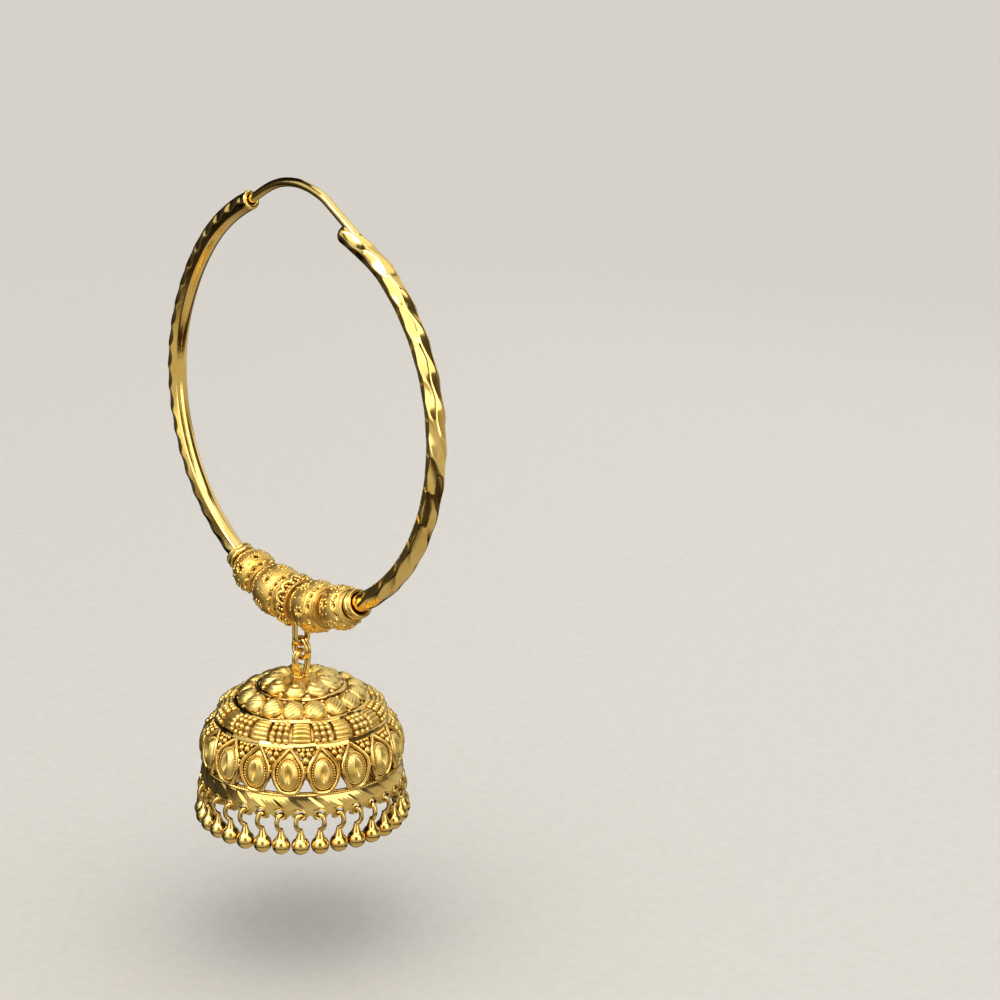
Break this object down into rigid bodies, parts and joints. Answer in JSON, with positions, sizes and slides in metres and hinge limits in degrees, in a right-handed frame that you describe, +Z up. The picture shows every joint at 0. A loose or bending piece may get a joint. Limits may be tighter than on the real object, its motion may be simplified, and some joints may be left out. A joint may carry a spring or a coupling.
{
  "type": "hoop earring with a bell drop",
  "caption": "Hollow gold hoop earring with a thin ear wire, a threaded bead group and a domed bell drop with a ball fringe, hanging on a link.",
  "frame": {"origin": "on the ear wire's centreline at its crown, where the earring hangs from the ear", "axes": "+Z up, the hoop's plane is XZ, -Y is the front, +X is the side of the tube's closed end, to which the ear wire is soldered"},
  "size_m": [0.0398, 0.021, 0.0623],
  "materials": {
    "diamond_cut_gold": "polished yellow gold with facets cut along the tube",
    "bead_gold": "satin yellow gold with granules",
    "spacer_gold": "satin yellow gold wire work",
    "wire_gold": "drawn yellow gold wire",
    "bell_gold": "stamped and granulated yellow gold, semi-matt",
    "fringe_gold": "polished yellow gold balls"
  },
  "bodies": {
    "hoop": {"hoop": "diamond_cut_gold", "bead_small_left": "bead_gold", "bead_large_left": "bead_gold", "spacer": "spacer_gold", "bead_large_right": "bead_gold", "bead_small_right": "bead_gold"},
    "link": {"drop_link": "wire_gold"},
    "drop": {"bell": "bell_gold", "fringe_drop_01": "fringe_gold", "fringe_drop_02": "fringe_gold", "fringe_drop_03": "fringe_gold", "fringe_drop_04": "fringe_gold", "fringe_drop_05": "fringe_gold", "fringe_drop_06": "fringe_gold", "fringe_drop_07": "fringe_gold", "fringe_drop_08": "fringe_gold", "fringe_drop_09": "fringe_gold", "fringe_drop_10": "fringe_gold", "fringe_drop_11": "fringe_gold", "fringe_drop_12": "fringe_gold", "fringe_drop_13": "fringe_gold", "fringe_drop_14": "fringe_gold", "fringe_drop_15": "fringe_gold", "fringe_drop_16": "fringe_gold", "fringe_drop_17": "fringe_gold", "fringe_drop_18": "fringe_gold", "fringe_drop_19": "fringe_gold", "fringe_drop_20": "fringe_gold", "fringe_drop_21": "fringe_gold", "fringe_drop_22": "fringe_gold", "fringe_drop_23": "fringe_gold", "fringe_drop_24": "fringe_gold", "fringe_drop_25": "fringe_gold", "fringe_drop_26": "fringe_gold", "fringe_drop_27": "fringe_gold", "fringe_drop_28": "fringe_gold", "fringe_drop_29": "fringe_gold", "fringe_drop_30": "fringe_gold", "fringe_drop_31": "fringe_gold", "fringe_drop_32": "fringe_gold", "fringe_drop_33": "fringe_gold"}
  },
  "joints": [
    {"name": "link_swing", "type": "hinge", "parent": "hoop", "child": "link", "pos_m": [0, 0, -0.0443], "axis": [0, 1, 0], "range_deg": [-45, 45]},
    {"name": "drop_swing", "type": "hinge", "parent": "link", "child": "drop", "pos_m": [0, 0, -0.0457], "axis": [1, 0, 0], "range_deg": [-45, 45]}
  ]
}
